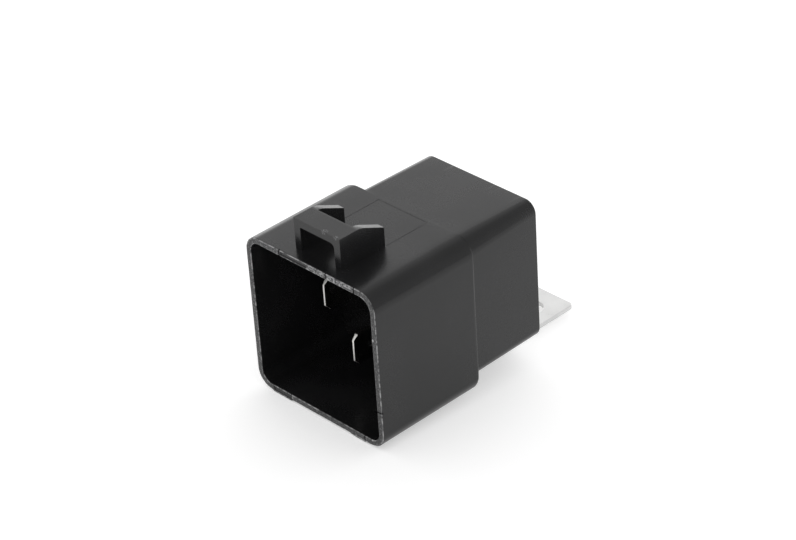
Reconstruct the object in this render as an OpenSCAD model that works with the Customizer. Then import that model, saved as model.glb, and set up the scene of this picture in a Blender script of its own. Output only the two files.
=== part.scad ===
// Automotive relay: a skirted, weather-resistant relay with four blades.
// The origin is the centre of the skirt's open rim. +Y runs into the relay,
// +Z points to the lock bridge, and every size is in millimetres.

/* [Skirt] */
// Outer width of the skirt
skirt_w = 32.5; // [29:0.1:38]
// Outer height of the skirt
skirt_h = 31.9; // [28.8:0.1:36]
// Length of the skirt from its rim to its shoulder
skirt_length = 23.8; // [22:0.1:30]
// Radius of the skirt's outer corners
skirt_corner_r = 3.7; // [2:0.1:5]
// Wall thickness of the cover
wall = 1.2; // [0.9:0.1:1.5]
// Thickness of the shoulder between skirt and body
shoulder_t = 1.6; // [1:0.1:2.4]

/* [Body] */
// Step down from the skirt's top to the body's top
step_top = 0.1; // [0.1:0.1:1.2]
// Step up from the skirt's underside to the body's underside
step_bottom = 3.2; // [2:0.1:4]
// Step in from the skirt's right side to the body's right side
step_right = 0.5; // [0.2:0.1:3]
// Step in from the skirt's left side to the body's left side
step_left = 4.5; // [2:0.1:6]
// Radius of the body's outer corners
body_corner_r = 2.4; // [1.4:0.1:3]
// Thickness of the closed rear wall
rear_wall = 1.4; // [1:0.1:2]
// Free space between the mechanism and the rear wall
rear_room = 0.45; // [0.4:0.05:3]

/* [Lock bridge] */
// Outer width of the lock bridge
latch_w = 11.5; // [9:0.1:16]
// Thickness of each leg
leg_t = 1.5; // [1:0.1:2]
// Distance from the rim to the bridge
latch_front = 2.6; // [1:0.1:5]
// Length of each leg along the skirt
leg_length = 10.4; // [8:0.1:14]
// Length of the bridge along the skirt
bridge_depth = 4.4; // [3:0.1:6]
// Clear height below the bridge
bridge_gap = 4.6; // [4.2:0.1:6]
// Thickness of the bridge
bridge_t = 1.5; // [1:0.1:2.5]
// Height of each leg's rear end
leg_rear_h = 3.7; // [2:0.1:4]
// Radius where the bridge's top turns down along the legs
leg_bend_r = 2.4; // [1:0.1:4]

/* [Blades] */
// Width of each blade
blade_w = 6.3; // [4.8:0.1:6.6]
// Thickness of each blade
blade_t = 0.8; // [0.6:0.05:1]
// Depth of the blade tips below the rim
tip_depth = 8.6; // [4:0.1:12]
// Length of the chamfers on each blade's tip
tip_chamfer = 1.0; // [0.5:0.1:1.6]
// Thickness left at the very tip
tip_land = 0.35; // [0.2:0.05:0.5]
// Diameter of the detent hole in each blade
detent_d = 1.5; // [1:0.1:2]
// Distance from a blade's tip to its detent hole
detent_pitch = 4.1; // [3:0.1:5]
// Distance between the two coil blades
coil_pitch = 16.8; // [16.4:0.1:17.6]
// Height of the coil blades above the body's centre
row_rise = 1.15; // [0.8:0.05:1.6]
// Drop from the coil blades to the common blade
common_drop = 8.9; // [8.4:0.1:9.2]
// Sideways offset of the common blade
common_shift = -1.7; // [-2.4:0.1:2.4]
// Rise from the coil blades to the load blade
load_rise = 8.0; // [7.6:0.1:8.6]

/* [Base plate] */
// Thickness of the base plate's flange, inside the skirt
flange_t = 1.6; // [1:0.1:2.5]
// Thickness of the base plate's plug, inside the body
plug_t = 2.0; // [1.2:0.1:3]
// Depth of the sealing resin
resin_t = 0.6; // [0.4:0.1:2]
// Clearance between the base plate and the cover
base_gap = 0.1; // [0.05:0.01:0.2]
// Clearance round each blade in the base plate
slot_gap = 0.05; // [0.02:0.01:0.1]

/* [Magnet] */
// Thickness of the yoke's steel
yoke_t = 1.5; // [1:0.1:1.8]
// Width of the yoke
yoke_w = 11.0; // [10:0.1:13]
// Room between the yoke and the cover, for the return spring
spring_room = 1.25; // [1.2:0.05:1.5]
// Outer radius of the coil winding
winding_r = 6.6; // [6:0.1:6.8]
// Clearance between the winding's flange and the yoke
coil_gap = 0.1; // [0.05:0.05:0.3]
// Length of the bobbin
bobbin_length = 9.0; // [8:0.1:12]
// Thickness of the bobbin's flanges
bobbin_flange_t = 0.9; // [0.6:0.1:1.2]
// Wall thickness of the bobbin's tube
bobbin_wall = 0.8; // [0.5:0.1:1]
// Radius of the core
core_r = 2.6; // [2:0.1:3]
// Radius of the core's pole face
pole_r = 4.0; // [3.2:0.1:4.6]
// Thickness of the pole face
pole_t = 0.75; // [0.6:0.05:1]
// Diameter of the winding's wire with its varnish
wire_d = 0.37; // [0.3:0.01:0.5]

/* [Armature] */
// Thickness of the armature
armature_t = 1.2; // [1:0.1:1.5]
// Angle through which the armature closes
travel_deg = 3.2; // [2.4:0.1:3.6]
// Clearance between the armature and the yoke's end
hinge_gap = 0.1; // [0.05:0.01:0.15]
// Clearance left at the pole face and the contacts when closed
seat_gap = 0.05; // [0.03:0.01:0.1]
// Thickness of the leaf springs
leaf_t = 0.25; // [0.2:0.01:0.3]
// Width of the contact leaf
leaf_w = 5.0; // [4.4:0.1:6]
// Radius of the contacts' heads
contact_r = 1.6; // [1.4:0.05:1.8]
// Height of each contact's head
contact_t = 0.9; // [0.7:0.05:1.1]
// Radius of the rivets' heads
rivet_head_r = 0.95; // [0.9:0.05:1.1]
// Height of the rivets' heads
rivet_head_t = 0.3; // [0.2:0.05:0.35]
// Radius of the flexible braid
braid_r = 0.42; // [0.3:0.01:0.45]

/* [Mounting bracket] */
// Width of the bracket's steel strip
bracket_w = 10.5; // [9:0.1:16]
// Thickness of the bracket's steel strip
bracket_t = 0.9; // [0.6:0.1:1.5]
// Reach of the bracket behind the rear wall
bracket_reach = 18.0; // [14:0.1:26]
// Drop from the body's underside to the bracket's upper face
bracket_drop = 5.4; // [3:0.1:8]
// Height of the bracket's leg on the rear wall
bracket_leg = 17.0; // [14:0.1:22]
// Inner radius of the bracket's bend
bend_r = 1.0; // [0.5:0.1:2]
// Radius of the tab's free corners
tab_corner_r = 1.0; // [0.4:0.1:3]
// Diameter of the mounting hole
hole_d = 4.5; // [3:0.1:6.5]
// Distance from the tab's end to the mounting hole
hole_edge = 6.0; // [4:0.1:8]
// Radius of the two stake posts
stake_r = 1.1; // [0.9:0.1:1.5]
// Height of the stakes' flattened heads
stake_head_t = 0.6; // [0.4:0.1:1]

/* [Hidden] */
$fn = 48;

// Small steps that keep joined shapes from meeting along a bare edge
bite = 0.2;
past = 1;

// Size and centre lines of the body, which follow the skirt
body_w = skirt_w - step_left - step_right;
body_h = skirt_h - step_top - step_bottom;
cx = (step_left - step_right) / 2;
cz = (step_bottom - step_top) / 2;
cavity_w = body_w - 2 * wall;
cavity_h = body_h - 2 * wall;
cavity_floor = cz - cavity_h / 2;
skirt_in_w = skirt_w - 2 * wall;
skirt_in_h = skirt_h - 2 * wall;
skirt_in_r = skirt_corner_r - wall;
cavity_r = max(body_corner_r - wall, 0.3);

// Magnet: the yoke's leg lies along the body's underside
yoke_out_z = cavity_floor + spring_room;
yoke_in_z = yoke_out_z + yoke_t;
flange_half = winding_r + 0.3;
coil_z = yoke_in_z + coil_gap + flange_half;
tenon_r = core_r * 0.6;
pole_reach = coil_z + pole_r - yoke_in_z;

// Stations along the relay, from the rim to the rear wall
shoulder_y = skirt_length - shoulder_t;
base_front_y = shoulder_y - flange_t;
resin_front_y = base_front_y - resin_t;
base_back_y = shoulder_y + plug_t;
foot_y = base_back_y + base_gap;
bobbin_y = foot_y + yoke_t;
bobbin_end_y = bobbin_y + bobbin_length;
pole_y = bobbin_end_y + pole_t;
yoke_end_y = pole_y + pole_reach * tan(travel_deg) + seat_gap - hinge_gap;
armature_y = yoke_end_y + hinge_gap;
leaf_y = armature_y + armature_t;
leaf_top_y = leaf_y + leaf_t;
rivet_top_y = leaf_top_y + max(rivet_head_t, 2 * braid_r + seat_gap);
rear_in_y = rivet_top_y + rear_room;
total_length = rear_in_y + rear_wall;

// Blades: two coil blades in a row, the common one below, the load one above
row_z = cz + row_rise;
coil_x = [cx - coil_pitch / 2, cx + coil_pitch / 2];
common_x = cx + common_shift;
common_z = row_z - common_drop;
load_z = row_z + load_rise;

// Contacts: both lie on the load arm's centre line
contact_z = load_z - blade_t / 2 - contact_r - 0.4;
contact_gap = (contact_z + contact_r - yoke_in_z) * tan(travel_deg) + seat_gap;
moving_face_y = leaf_y - contact_t;
fixed_face_y = moving_face_y - contact_gap;
load_arm_y = fixed_face_y - contact_t - blade_t;
shank_r = contact_r * 0.45;

// Inner tails of the blades
tail_w = 2.2;
tail_reach = 6.0;
tail_end_y = foot_y + tail_reach;
tail_z = blade_w / 2 - tail_w / 2;
tenon_w = 2.4;

// Suppression resistor
resistor_r = 1.25;
resistor_l = 6.2;
resistor_back = 3.0;
resistor_y = foot_y + resistor_back;
resistor_z = coil_z + flange_half + resistor_r + 0.3;
lead_r = 0.25;

// Armature, held sideways by two lugs on the yoke's end
lug_w = 1.2;
lug_h = armature_t * 0.7;
lug_gap = 0.15;
armature_end_z = coil_z + pole_r + 0.8;
tail_half = yoke_w / 2 - lug_w - lug_gap;
rivet_pitch = 4.8;
rivet_zs = [coil_z - rivet_pitch / 2, coil_z + rivet_pitch / 2];
rivet_shank_r = rivet_head_r * 0.55;

// Return spring
spring_w = 2 * tail_half - 1;
spring_rivet_x = 2.0;
spring_rivet_back = 5.0;
spring_rivet_y = foot_y + spring_rivet_back;
spring_shank_r = rivet_head_r * 0.55;
spring_head_r = rivet_head_r * 0.9;
spring_foot = 1.5;
spring_press_gap = 0.12;

// Lock bridge
skirt_top_z = skirt_h / 2;
bridge_under_z = skirt_top_z + bridge_gap;
bridge_top_z = bridge_under_z + bridge_t;
latch_rear = latch_front + leg_length;

// Mounting bracket: leg on the rear wall, tab below the body
tab_top_z = cz - body_h / 2 - bracket_drop;
tab_end_y = total_length + bracket_reach;
bracket_top_z = tab_top_z - bracket_t + bracket_leg;
stake_edge = 4.5;
stake_z = bracket_top_z - stake_edge;
stake_x = bracket_w * 0.28;

// A flat outline of width w and height h with rounded corners
module rounded(w, h, r) {
    square([w - 2 * r, h], center = true);
    square([w, h - 2 * r], center = true);
    for (x = [-1, 1], y = [-1, 1])
        translate([x * (w / 2 - r), y * (h / 2 - r)]) circle(r);
}

// Extrudes a flat (x, z) outline along Y from one station to another
module along_y(from, to) {
    translate([0, to, 0]) rotate([90, 0, 0]) linear_extrude(to - from) children();
}

// Extrudes a flat (y, z) outline along X from one place to another
module along_x(from, to) {
    translate([from, 0, 0]) rotate([90, 0, 90]) linear_extrude(to - from) children();
}

// A round bar along Y, with its end radii
module bar_y(x, z, from, to, r, r_end) {
    translate([x, from, z]) rotate([-90, 0, 0]) cylinder(h = to - from, r1 = r, r2 = r_end);
}

// A round wire swept along a list of points
module wire(points, r, sides = 8) {
    n = len(points);
    function heading(i) = let (d = points[min(i + 1, n - 1)] - points[max(i - 1, 0)]) d / norm(d);
    function across(i) = let (c = cross(heading(i), [0.31, 0.17, 0.93])) c / norm(c);
    rings = [for (i = [0:n - 1], s = [0:sides - 1])
        let (u = across(i), v = cross(heading(i), u), a = 360 * s / sides)
        points[i] + r * (u * cos(a) + v * sin(a))];
    skin = [for (i = [0:n - 2], s = [0:sides - 1])
        [i * sides + s, i * sides + (s + 1) % sides,
         (i + 1) * sides + (s + 1) % sides, (i + 1) * sides + s]];
    first = [for (s = [sides - 1:-1:0]) s];
    last = [for (s = [0:sides - 1]) (n - 1) * sides + s];
    polyhedron(rings, concat(skin, [first, last]), convexity = 4);
}

// Points on a smooth curve through a few hand-picked ones
function smooth(p, steps) = [for (i = [0:len(p) - 2], k = [0:steps - (i == len(p) - 2 ? 0 : 1)])
    let (t = k / steps, a = p[max(i - 1, 0)], b = p[i], c = p[i + 1], d = p[min(i + 2, len(p) - 1)])
    0.5 * (2 * b + (c - a) * t + (2 * a - 5 * b + 4 * c - d) * t * t
           + (3 * b - a - 3 * c + d) * t * t * t)];

// ---- Cover: skirt, shoulder, body, lock bridge and stakes in one moulding

module skirt_outline(grow = 0) {
    rounded(skirt_in_w + 2 * grow, skirt_in_h + 2 * grow, skirt_in_r + grow);
}

module cavity_outline(grow = 0) {
    translate([cx, cz]) rounded(cavity_w + 2 * grow, cavity_h + 2 * grow, cavity_r + max(grow, 0));
}

module body_outline() {
    translate([cx, cz]) rounded(body_w, body_h, body_corner_r);
}

// Side view of one leg: level below the bridge, then sloping down to the rear
module leg_profile() {
    flat_end = latch_front + bridge_depth - leg_bend_r * 0.3;
    drop = bridge_top_z - skirt_top_z - leg_rear_h;
    slope = atan(drop / (latch_rear - flat_end));
    bend = [for (a = [0:slope / 4:slope]) [flat_end + leg_bend_r * sin(a),
                                          bridge_top_z - leg_bend_r * (1 - cos(a))]];
    polygon(concat([[latch_front, skirt_top_z - bite], [latch_front, bridge_top_z]], bend,
                   [[latch_rear, skirt_top_z + leg_rear_h], [latch_rear, skirt_top_z - bite]]));
}

module lock_bridge() {
    for (side = [-1, 1])
        along_x(side * (latch_w - leg_t) / 2 - leg_t / 2, side * (latch_w - leg_t) / 2 + leg_t / 2)
            leg_profile();
    translate([-latch_w / 2 + leg_t / 2, latch_front, bridge_under_z])
        cube([latch_w - leg_t, bridge_depth, bridge_t]);
}

module stake(side) {
    x = cx + side * stake_x;
    head_y = total_length + bracket_t;
    bar_y(x, stake_z, total_length - bite, head_y + bite, stake_r, stake_r);
    bar_y(x, stake_z, head_y, head_y + stake_head_t, stake_r * 1.7, stake_r * 1.2);
}

module cover() {
    color([0.1, 0.1, 0.105]) {
        difference() {
            union() {
                along_y(0, skirt_length) skirt_outline(wall);
                along_y(shoulder_y, total_length) body_outline();
                lock_bridge();
            }
            along_y(-past, shoulder_y) skirt_outline();
            along_y(shoulder_y - past, rear_in_y) cavity_outline();
        }
        for (side = [-1, 1]) stake(side);
    }
}

// ---- Base plate and sealing resin

module blade_slots(gap) {
    for (x = coil_x) translate([x, row_z]) square([blade_t + 2 * gap, blade_w + 2 * gap], center = true);
    translate([common_x, common_z]) square([blade_t + 2 * gap, blade_w + 2 * gap], center = true);
    translate([cx, load_z]) square([blade_w + 2 * gap, blade_t + 2 * gap], center = true);
}

module base_plate() {
    color([0.16, 0.15, 0.14]) {
        along_y(base_front_y, shoulder_y) difference() {
            skirt_outline(-base_gap);
            blade_slots(slot_gap);
        }
        along_y(shoulder_y, base_back_y) difference() {
            cavity_outline(-base_gap);
            blade_slots(slot_gap);
        }
    }
}

module sealing_resin() {
    color([0.07, 0.07, 0.075])
        along_y(resin_front_y, base_front_y) difference() {
            skirt_outline();
            blade_slots(0);
        }
}

// ---- Terminals

// A blade that lies in the (y, z) plane, with its tip at the tip depth
module blade(end_y) {
    half = blade_w / 2;
    narrow = (blade_t - tip_land) / 2;
    intersection() {
        along_x(-blade_t / 2, blade_t / 2) polygon([
            [tip_depth, half - tip_chamfer], [tip_depth + tip_chamfer, half], [end_y, half],
            [end_y, -half], [tip_depth + tip_chamfer, -half], [tip_depth, -half + tip_chamfer]]);
        translate([0, 0, -blade_w]) linear_extrude(2 * blade_w) polygon([
            [-blade_t / 2 + narrow, tip_depth], [-blade_t / 2, tip_depth + tip_chamfer],
            [-blade_t / 2, end_y + past], [blade_t / 2, end_y + past],
            [blade_t / 2, tip_depth + tip_chamfer], [blade_t / 2 - narrow, tip_depth]]);
    }
}

module detent_hole() {
    translate([-past, tip_depth + detent_pitch, 0]) rotate([0, 90, 0]) cylinder(h = 2 * past, d = detent_d);
}

// Coil blade: ends in a narrow tail beside the bobbin
module coil_terminal(x) {
    translate([x, 0, row_z]) difference() {
        union() {
            blade(base_back_y);
            translate([-blade_t / 2, base_back_y - bite, tail_z - tail_w / 2])
                cube([blade_t, tail_end_y - base_back_y + bite, tail_w]);
        }
        detent_hole();
    }
}

module terminal_85() { color([0.86, 0.85, 0.82]) coil_terminal(coil_x[1]); }

module terminal_86() { color([0.86, 0.85, 0.82]) coil_terminal(coil_x[0]); }

// Common blade: its tenon is staked in the yoke's foot
module terminal_30() {
    color([0.86, 0.85, 0.82]) translate([common_x, 0, common_z]) difference() {
        union() {
            blade(base_back_y);
            translate([-blade_t / 2, base_back_y - bite, -tenon_w / 2])
                cube([blade_t, foot_y + yoke_t - base_back_y, tenon_w]);
        }
        detent_hole();
    }
}

// Load blade: runs past the coil and turns in below the moving contact
module terminal_87() {
    arm_w = blade_w - 1.5;
    arm_in_z = contact_z - contact_r - 0.3;
    color([0.86, 0.85, 0.82]) difference() {
        union() {
            translate([cx, 0, load_z]) rotate([0, 90, 0]) blade(base_back_y);
            translate([cx - arm_w / 2, base_back_y - bite, load_z - blade_t / 2])
                cube([arm_w, load_arm_y + blade_t - base_back_y + bite, blade_t]);
            translate([cx - arm_w / 2, load_arm_y, arm_in_z])
                cube([arm_w, blade_t, load_z - arm_in_z]);
        }
        translate([cx, 0, load_z]) rotate([0, 90, 0]) detent_hole();
        bar_y(cx, contact_z, load_arm_y - past, load_arm_y + blade_t + past, shank_r, shank_r);
    }
}

module fixed_contact() {
    color([0.8, 0.8, 0.78]) {
        bar_y(cx, contact_z, load_arm_y + blade_t, fixed_face_y, contact_r, contact_r);
        bar_y(cx, contact_z, load_arm_y - 0.2, load_arm_y + blade_t + bite, shank_r, shank_r);
        bar_y(cx, contact_z, load_arm_y - 0.2, load_arm_y, shank_r * 1.3, shank_r * 1.3);
    }
}

// ---- Magnet

module yoke() {
    foot_top_z = coil_z + pole_r;
    color([0.62, 0.62, 0.6]) difference() {
        union() {
            translate([cx - yoke_w / 2, foot_y, yoke_out_z]) cube([yoke_w, yoke_t, foot_top_z - yoke_out_z]);
            translate([cx - yoke_w / 2, foot_y, yoke_out_z]) cube([yoke_w, yoke_end_y - foot_y, yoke_t]);
            for (side = [0, 1])
                translate([cx - yoke_w / 2 + side * (yoke_w - lug_w), yoke_end_y - bite, yoke_out_z])
                    cube([lug_w, lug_h + bite, yoke_t]);
        }
        bar_y(cx, coil_z, foot_y - past, foot_y + yoke_t + past, tenon_r, tenon_r);
        translate([common_x - blade_t / 2 - slot_gap, foot_y - past, common_z - tenon_w / 2 - slot_gap])
            cube([blade_t + 2 * slot_gap, yoke_t + 2 * past, tenon_w + 2 * slot_gap]);
        for (side = [-1, 1])
            translate([cx + side * spring_rivet_x, spring_rivet_y, yoke_out_z - past])
                cylinder(h = yoke_t + 2 * past, r = spring_shank_r);
    }
}

module core() {
    color([0.6, 0.6, 0.6]) {
        bar_y(cx, coil_z, foot_y, bobbin_y + bite, tenon_r, tenon_r);
        bar_y(cx, coil_z, bobbin_y, bobbin_end_y + bite, core_r, core_r);
        bar_y(cx, coil_z, bobbin_end_y, pole_y, pole_r, pole_r);
    }
}

module bobbin() {
    bore_r = core_r + coil_gap;
    tube_r = bore_r + bobbin_wall;
    color([0.22, 0.2, 0.17]) difference() {
        union() {
            bar_y(cx, coil_z, bobbin_y, bobbin_end_y, tube_r, tube_r);
            for (y = [bobbin_y, bobbin_end_y - bobbin_flange_t])
                along_y(y, y + bobbin_flange_t)
                    translate([cx, coil_z]) rounded(2 * flange_half, 2 * flange_half, 1.2);
        }
        bar_y(cx, coil_z, bobbin_y - past, bobbin_end_y + past, bore_r, bore_r);
    }
}

// The winding shows the round backs of its outer turns
module coil_winding() {
    inner_r = core_r + coil_gap + bobbin_wall;
    from = bobbin_y + bobbin_flange_t;
    length = bobbin_length - 2 * bobbin_flange_t;
    turns = floor(length / wire_d);
    pitch = length / turns;
    ridges = [for (i = [0:turns - 1], k = [0, 1])
        [winding_r - (k == 0 ? wire_d * 0.3 : 0), (i + k * 0.5) * pitch]];
    color([0.62, 0.27, 0.12]) translate([cx, from, coil_z]) rotate([-90, 0, 0])
        rotate_extrude() polygon(concat([[inner_r, 0]], ridges,
            [[winding_r - wire_d * 0.3, length], [inner_r, length]]));
}

// Each coil lead runs from the winding to its blade's tail
module coil_lead(side) {
    x = cx + side * (coil_pitch / 2 - blade_t / 2 - wire_d / 2);
    y = bobbin_y + bobbin_flange_t + wire_d;
    lay_r = winding_r + wire_d / 2;
    laid = [for (a = [5:9:50]) [cx + side * lay_r * sin(a), y, coil_z + lay_r * cos(a)]];
    off = laid[len(laid) - 1] + [side * 1.1, 0, 0.5] * wire_d * 2;
    tail = row_z + tail_z;
    color([0.7, 0.32, 0.14]) wire(smooth(concat(laid, [off,
        [cx + side * (flange_half + 0.2), y, tail - 1.6],
        [x, y - 0.2, tail - 0.5], [x, y - 0.2, tail + 0.6]]), 3), wire_d / 2);
}

module coil_lead_85() { coil_lead(1); }

module coil_lead_86() { coil_lead(-1); }

// ---- Suppression resistor, between the coil blades' tails

module suppression_resistor() {
    color([0.72, 0.62, 0.45]) translate([cx, resistor_y, resistor_z]) rotate([0, 90, 0]) {
        cylinder(h = resistor_l - 2, r = resistor_r * 0.86, center = true);
        for (side = [-1, 1])
            translate([0, 0, side * (resistor_l / 2 - 0.75)]) cylinder(h = 1.5, r = resistor_r, center = true);
    }
}

module resistor_lead(side) {
    x = cx + side * (coil_pitch / 2 - blade_t / 2 - lead_r);
    color([0.8, 0.8, 0.8]) wire(smooth([
        [cx + side * resistor_l / 2, resistor_y, resistor_z],
        [cx + side * (resistor_l / 2 + 1.4), resistor_y, resistor_z],
        [x - side * 0.5, resistor_y + 0.6, resistor_z - 0.3],
        [x, resistor_y + 1.4, row_z + tail_z + 0.8], [x, resistor_y + 2, row_z + tail_z - 0.6]], 4), lead_r);
}

module resistor_lead_85() { resistor_lead(1); }

module resistor_lead_86() { resistor_lead(-1); }

// ---- Armature and its leaf

module armature() {
    head_z = yoke_in_z + lug_gap;
    color([0.66, 0.66, 0.64]) difference() {
        union() {
            translate([cx - tail_half, armature_y, yoke_out_z + lug_gap])
                cube([2 * tail_half, armature_t, head_z - yoke_out_z - lug_gap + bite]);
            translate([cx - yoke_w / 2, armature_y, head_z])
                cube([yoke_w, armature_t, armature_end_z - head_z]);
        }
        for (z = rivet_zs)
            bar_y(cx, z, armature_y - past, leaf_y + past, rivet_shank_r, rivet_shank_r);
    }
}

module contact_spring() {
    start_z = rivet_zs[0] - rivet_head_r - 0.4;
    end_z = contact_z + contact_r;
    color([0.78, 0.5, 0.26]) along_y(leaf_y, leaf_top_y) difference() {
        translate([cx, (start_z + end_z) / 2]) rounded(leaf_w, end_z - start_z, 1);
        for (z = rivet_zs) translate([cx, z]) circle(rivet_shank_r);
        translate([cx, contact_z]) circle(shank_r);
    }
}

module armature_rivets() {
    color([0.75, 0.74, 0.7]) for (z = rivet_zs) {
        bar_y(cx, z, armature_y, leaf_top_y + bite, rivet_shank_r, rivet_shank_r);
        bar_y(cx, z, leaf_top_y, leaf_top_y + rivet_head_t, rivet_head_r, rivet_head_r * 0.8);
    }
}

module moving_contact() {
    color([0.8, 0.8, 0.78]) {
        bar_y(cx, contact_z, moving_face_y, leaf_y, contact_r, contact_r);
        bar_y(cx, contact_z, leaf_y - bite, leaf_top_y + bite, shank_r, shank_r);
        bar_y(cx, contact_z, leaf_top_y, leaf_top_y + 0.2, shank_r * 1.4, shank_r * 1.4);
    }
}

// ---- Return spring: a leaf on the yoke's back that bends over the armature's tail

module return_spring() {
    back_z = yoke_out_z - leaf_t;
    press_y = armature_y + armature_t + spring_press_gap;
    color([0.78, 0.66, 0.4]) difference() {
        union() {
            translate([cx - spring_w / 2, spring_rivet_y - spring_foot, back_z])
                cube([spring_w, press_y + leaf_t - spring_rivet_y + spring_foot, leaf_t]);
            translate([cx - spring_w / 2, press_y, back_z])
                cube([spring_w, leaf_t, yoke_in_z - back_z - 0.3]);
        }
        for (side = [-1, 1])
            translate([cx + side * spring_rivet_x, spring_rivet_y, back_z - past])
                cylinder(h = leaf_t + 2 * past, r = spring_shank_r);
    }
}

module return_spring_rivets() {
    color([0.75, 0.74, 0.7]) for (side = [-1, 1])
        translate([cx + side * spring_rivet_x, spring_rivet_y, 0]) {
            translate([0, 0, yoke_out_z - leaf_t - bite])
                cylinder(h = yoke_in_z - yoke_out_z + leaf_t + bite, r = spring_shank_r);
            translate([0, 0, yoke_out_z - leaf_t - rivet_head_t])
                cylinder(h = rivet_head_t, r1 = spring_head_r * 0.85, r2 = spring_head_r);
        }
}

// Flexible braid from the yoke's side to the leaf beside the moving contact
module flexible_braid() {
    side_x = cx + yoke_w / 2 + braid_r;
    top_y = leaf_top_y + seat_gap + braid_r;
    low_z = yoke_out_z + braid_r;
    start_y = bobbin_y + braid_r * 4;
    bow = braid_r * 1.4;
    color([0.74, 0.42, 0.22]) wire(smooth([
        [side_x, start_y, low_z], [side_x, start_y + 6 * braid_r, low_z],
        [side_x + bow, bobbin_end_y - 2 * braid_r, low_z],
        [side_x + bow, yoke_end_y, yoke_in_z + braid_r / 2],
        [side_x + braid_r / 4, top_y - braid_r / 2, yoke_in_z + pole_reach * 0.31],
        [cx + yoke_w * 0.37, top_y, coil_z + braid_r], [cx + leaf_w * 0.34, top_y, coil_z + pole_r * 1.4],
        [cx + leaf_w * 0.3, top_y, contact_z - contact_r * 0.75]], 3), braid_r);
}

// ---- Mounting bracket: leg staked to the rear wall, tab below the body

module bracket_profile() {
    outer_r = bend_r + bracket_t;
    tab_under_z = tab_top_z - bracket_t;
    bend_y = total_length + outer_r;
    bend_z = tab_under_z + outer_r;
    translate([total_length, bend_z]) square([bracket_t, bracket_top_z - bend_z]);
    translate([bend_y, tab_under_z]) square([tab_end_y - bend_y, bracket_t]);
    intersection() {
        difference() {
            translate([bend_y, bend_z]) circle(outer_r);
            translate([bend_y, bend_z]) circle(bend_r);
        }
        translate([total_length, tab_under_z]) square(outer_r);
    }
}

module mounting_bracket() {
    plan_l = 2 * bracket_reach;
    face_h = 2 * bracket_leg;
    color([0.82, 0.82, 0.8]) difference() {
        intersection() {
            along_x(cx - bracket_w / 2, cx + bracket_w / 2) bracket_profile();
            translate([cx, tab_end_y - plan_l / 2, tab_top_z - 2 * bracket_t])
                linear_extrude(face_h) rounded(bracket_w, plan_l, tab_corner_r);
            along_y(total_length - past, tab_end_y + past)
                translate([cx, bracket_top_z - face_h / 2]) rounded(bracket_w, face_h, 2);
        }
        translate([cx, tab_end_y - hole_edge, tab_top_z - bracket_t - past])
            cylinder(h = bracket_t + 2 * past, d = hole_d);
        for (side = [-1, 1])
            bar_y(cx + side * stake_x, stake_z, total_length - past, total_length + bracket_t + past,
                  stake_r, stake_r);
    }
}

cover();
mounting_bracket();
base_plate();
sealing_resin();
terminal_30();
terminal_85();
terminal_86();
terminal_87();
fixed_contact();
yoke();
core();
bobbin();
coil_winding();
coil_lead_85();
coil_lead_86();
suppression_resistor();
resistor_lead_85();
resistor_lead_86();
armature();
contact_spring();
armature_rivets();
moving_contact();
return_spring();
return_spring_rivets();
flexible_braid();
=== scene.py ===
import math

import bpy
import bmesh
from mathutils import Matrix, Vector


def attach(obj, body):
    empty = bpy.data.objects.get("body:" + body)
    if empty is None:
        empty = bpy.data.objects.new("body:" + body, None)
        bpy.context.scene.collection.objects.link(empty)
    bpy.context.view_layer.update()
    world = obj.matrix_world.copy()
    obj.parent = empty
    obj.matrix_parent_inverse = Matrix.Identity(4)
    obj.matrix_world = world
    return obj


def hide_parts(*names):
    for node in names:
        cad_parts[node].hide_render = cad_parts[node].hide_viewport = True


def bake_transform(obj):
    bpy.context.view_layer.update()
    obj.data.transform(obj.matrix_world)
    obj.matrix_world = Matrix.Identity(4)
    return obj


bl_info = {
    "name": "Skirted relay",
    "version": (1, 0, 0),
    "blender": (4, 5, 0),
    "location": "View3D > Sidebar > Relay",
    "description": "Dresses the skirted automotive relay: cover, bracket, blades, works and stage",
    "category": "Object",
}

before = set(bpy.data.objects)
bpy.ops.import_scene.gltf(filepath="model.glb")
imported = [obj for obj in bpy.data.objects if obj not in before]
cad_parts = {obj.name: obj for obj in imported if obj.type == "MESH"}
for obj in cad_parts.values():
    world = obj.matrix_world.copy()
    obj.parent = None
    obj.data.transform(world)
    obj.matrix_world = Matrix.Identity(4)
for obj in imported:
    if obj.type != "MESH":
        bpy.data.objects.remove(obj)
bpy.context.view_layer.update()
MM = 0.001
# Millimetres across from the skirt's centre to the body's, where the bracket and the works lie too
CENTRE = 2.0
# Thickness of the bracket's steel, and the stakes that hold it: place across, height and shank radius
STEEL_T = 0.9
STAKE_OUT = 2.94
STAKE_Z = -6.55
STAKE_R = 1.1


# ---- Small tools for shapes

def collect(name, verts, faces, smooth=True):
    """A new object from a list of points and faces."""
    mesh = bpy.data.meshes.new(name)
    mesh.from_pydata([tuple(v) for v in verts], [], faces)
    mesh.validate()
    mesh.update()
    piece = placed(name, mesh)
    tidy_normals(piece)
    if smooth:
        shade(piece)
    return piece


def placed(name, mesh):
    """A new object in the scene that shows a mesh."""
    piece = bpy.data.objects.new(name, mesh)
    bpy.context.scene.collection.objects.link(piece)
    return piece


def tidy_normals(piece):
    """Turns every face outwards."""
    work = bmesh.new()
    work.from_mesh(piece.data)
    bmesh.ops.recalc_face_normals(work, faces=work.faces)
    work.to_mesh(piece.data)
    work.free()


def shade(piece, angle=32.0):
    """Smooth shading that keeps edges sharper than the angle."""
    for face in piece.data.polygons:
        face.use_smooth = True
    work = bmesh.new()
    work.from_mesh(piece.data)
    limit = math.radians(angle)
    for edge in work.edges:
        edge.smooth = len(edge.link_faces) == 2 and edge.calc_face_angle(0.0) < limit
    work.to_mesh(piece.data)
    work.free()


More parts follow.
